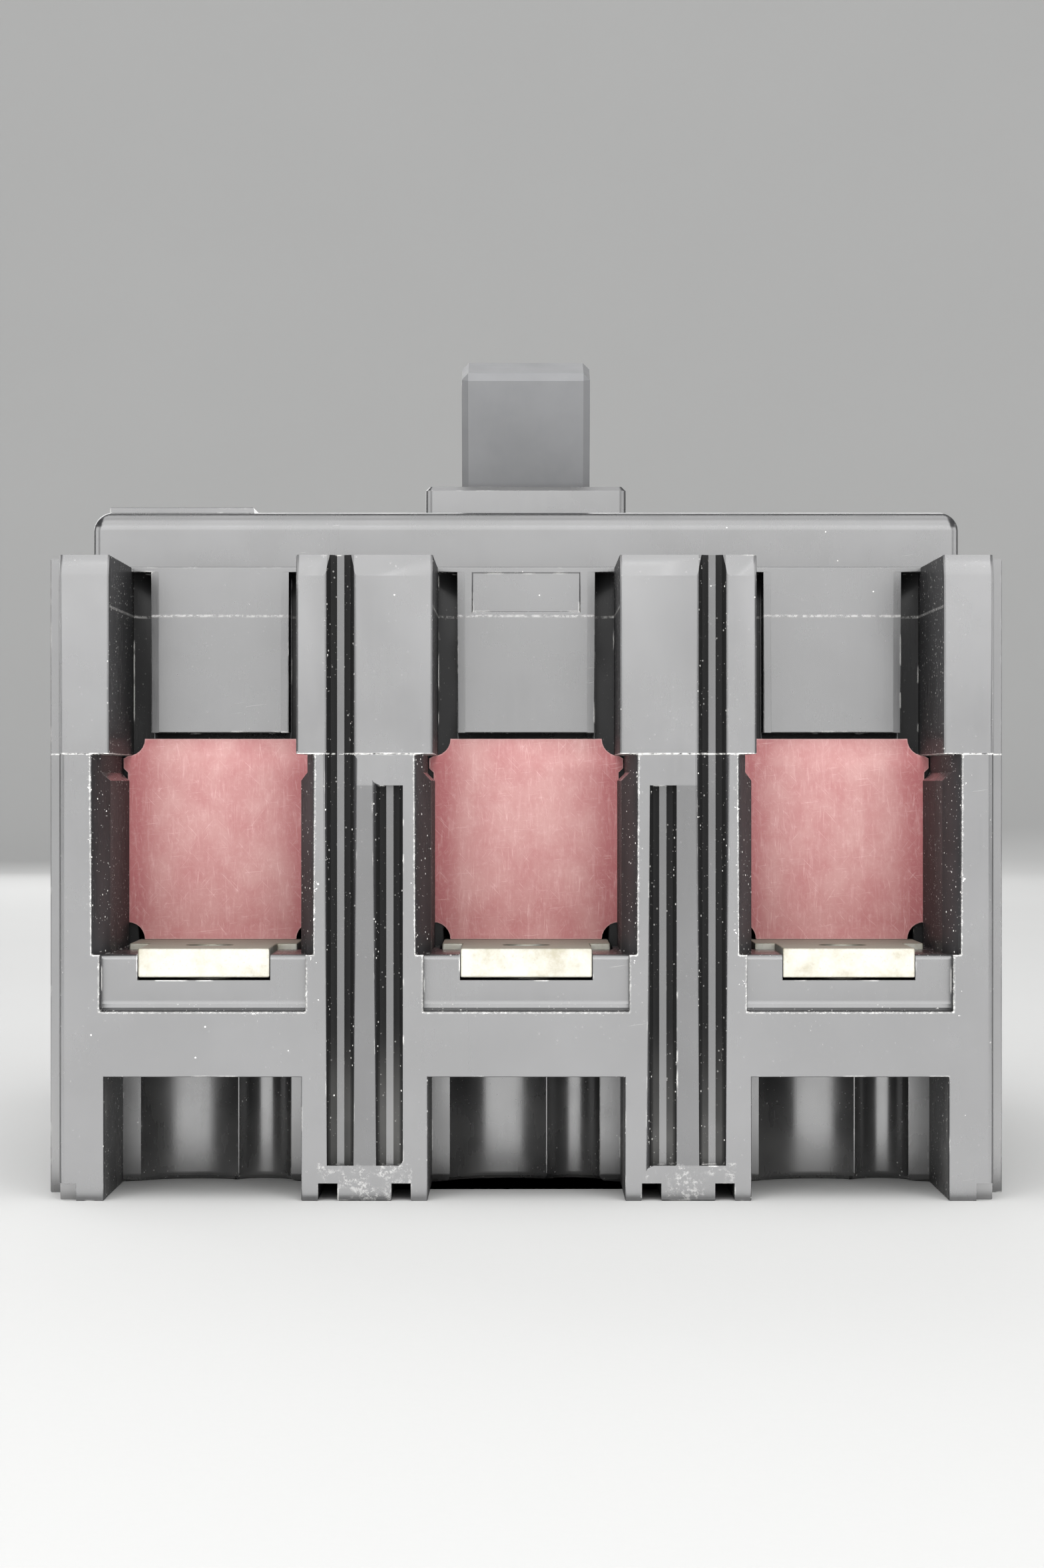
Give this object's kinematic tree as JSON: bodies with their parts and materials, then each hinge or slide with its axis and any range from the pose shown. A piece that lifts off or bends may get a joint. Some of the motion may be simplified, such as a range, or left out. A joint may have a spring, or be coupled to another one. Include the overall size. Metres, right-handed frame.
{
  "type": "molded case circuit breaker",
  "caption": "Molded case circuit breaker with a toggle handle, open terminal recesses closed by fibre baffles, and a complete switching mechanism and trip unit inside.",
  "frame": {"origin": "centre of the mounting face, on the mounting plane", "axes": "+X across the poles, to the right seen from the line end; +Y along the poles from the line end, which faces the picture's camera, to the load end; +Z out of the panel, toward the handle"},
  "size_m": [0.1048, 0.1524, 0.0971],
  "materials": {
    "phenolic_moulding": "glossy compression-moulded phenolic",
    "phenolic_inner": "moulded phenolic, satin",
    "handle_moulding": "glossy moulding",
    "button_plastic": "moulded push button",
    "silvered_copper": "silver-plated copper",
    "silver_contact": "silver alloy",
    "copper": "bare copper",
    "bimetal": "rolled bimetal",
    "plated_steel": "zinc-plated steel",
    "spring_steel": "drawn spring wire",
    "vulcanised_fibre": "vulcanised fibre, pink-red"
  },
  "bodies": {
    "housing": {"base": "phenolic_moulding", "cover": "phenolic_moulding", "cover_screws": "plated_steel", "line_terminal_1": "silvered_copper", "load_terminal_1": "silvered_copper", "fixed_contact_1": "silver_contact", "fibre_baffle_1": "vulcanised_fibre", "chute_sides_1": "vulcanised_fibre", "chute_plates_1": "plated_steel", "magnet_yoke_1": "plated_steel", "flexible_shunt_1": "copper", "bimetal_1": "bimetal", "line_terminal_2": "silvered_copper", "load_terminal_2": "silvered_copper", "fixed_contact_2": "silver_contact", "fibre_baffle_2": "vulcanised_fibre", "chute_sides_2": "vulcanised_fibre", "chute_plates_2": "plated_steel", "magnet_yoke_2": "plated_steel", "flexible_shunt_2": "copper", "bimetal_2": "bimetal", "line_terminal_3": "silvered_copper", "load_terminal_3": "silvered_copper", "fixed_contact_3": "silver_contact", "fibre_baffle_3": "vulcanised_fibre", "chute_sides_3": "vulcanised_fibre", "chute_plates_3": "plated_steel", "magnet_yoke_3": "plated_steel", "flexible_shunt_3": "copper", "bimetal_3": "bimetal", "line_terminal_screws": "plated_steel", "load_terminal_screws": "plated_steel", "calibration_screws": "plated_steel", "side_plates": "plated_steel", "frame_pins": "plated_steel"},
    "handle": {"handle": "handle_moulding", "handle_yoke": "plated_steel", "main_springs": "spring_steel"},
    "crossbar": {"crossbar": "phenolic_inner", "arm_pins": "plated_steel", "contact_springs": "spring_steel", "contact_arm_1": "copper", "contact_arm_2": "copper", "contact_arm_3": "copper", "moving_contact_1": "silver_contact", "moving_contact_2": "silver_contact", "moving_contact_3": "silver_contact"},
    "upper_toggle": {"upper_links": "plated_steel", "toggle_pin": "plated_steel"},
    "lower_toggle": {"lower_links": "plated_steel"},
    "cradle": {"cradle": "plated_steel"},
    "trip_bar": {"trip_bar": "phenolic_inner", "latch": "plated_steel"},
    "trip_button": {"trip_button": "button_plastic"},
    "armature_1": {"armature_1": "plated_steel"},
    "armature_2": {"armature_2": "plated_steel"},
    "armature_3": {"armature_3": "plated_steel"}
  },
  "joints": [
    {"name": "handle_swing", "type": "hinge", "parent": "housing", "child": "handle", "pos_m": [0, 0, 0.042], "axis": [-1, 0, 0], "range_deg": [0, 34], "deforming": ["main_springs"]},
    {"name": "crossbar_swing", "type": "hinge", "parent": "housing", "child": "crossbar", "pos_m": [0, 0.002, 0.031], "axis": [-1, 0, 0], "range_deg": [0, 30]},
    {"name": "upper_link_swing", "type": "hinge", "parent": "housing", "child": "upper_toggle", "pos_m": [0, 0.0053, 0.0516], "axis": [1, 0, 0], "range_deg": [0, 20.2]},
    {"name": "lower_link_swing", "type": "hinge", "parent": "crossbar", "child": "lower_toggle", "pos_m": [0, -0.0063, 0.0304], "axis": [1, 0, 0], "range_deg": [0, 16.5]},
    {"name": "cradle_release", "type": "hinge", "parent": "housing", "child": "cradle", "pos_m": [0, -0.015, 0.05], "axis": [1, 0, 0], "range_deg": [0, 2.5]},
    {"name": "trip_bar_turn", "type": "hinge", "parent": "housing", "child": "trip_bar", "pos_m": [0, 0.0265, 0.046], "axis": [1, 0, 0], "range_deg": [0, 14]},
    {"name": "trip_button_push", "type": "slide", "parent": "housing", "child": "trip_button", "axis": [0, 0, -1], "range_m": [0, 0.0021], "stiffness_N_per_m": 400, "springref_m": -0.0005},
    {"name": "armature_1_swing", "type": "hinge", "parent": "housing", "child": "armature_1", "pos_m": [-0.03492, 0.0317, 0.0485], "axis": [1, 0, 0], "range_deg": [0, 3], "stiffness_Nm_per_rad": 0.02, "springref_deg": -5.73},
    {"name": "armature_2_swing", "type": "hinge", "parent": "housing", "child": "armature_2", "pos_m": [0, 0.0317, 0.0485], "axis": [1, 0, 0], "range_deg": [0, 3], "stiffness_Nm_per_rad": 0.02, "springref_deg": -5.73},
    {"name": "armature_3_swing", "type": "hinge", "parent": "housing", "child": "armature_3", "pos_m": [0.03492, 0.0317, 0.0485], "axis": [1, 0, 0], "range_deg": [0, 3], "stiffness_Nm_per_rad": 0.02, "springref_deg": -5.73}
  ],
  "couplings": [
    {"joint": "crossbar_swing", "follows": "handle_swing", "ratio": 0.88235},
    {"joint": "upper_link_swing", "follows": "handle_swing", "ratio": 0.59118},
    {"joint": "lower_link_swing", "follows": "handle_swing", "ratio": 0.46765},
    {"joint": "trip_bar_turn", "follows": "trip_button_push", "rad_per_m": 116.36},
    {"joint": "cradle_release", "follows": "trip_button_push", "rad_per_m": 20.778}
  ]
}
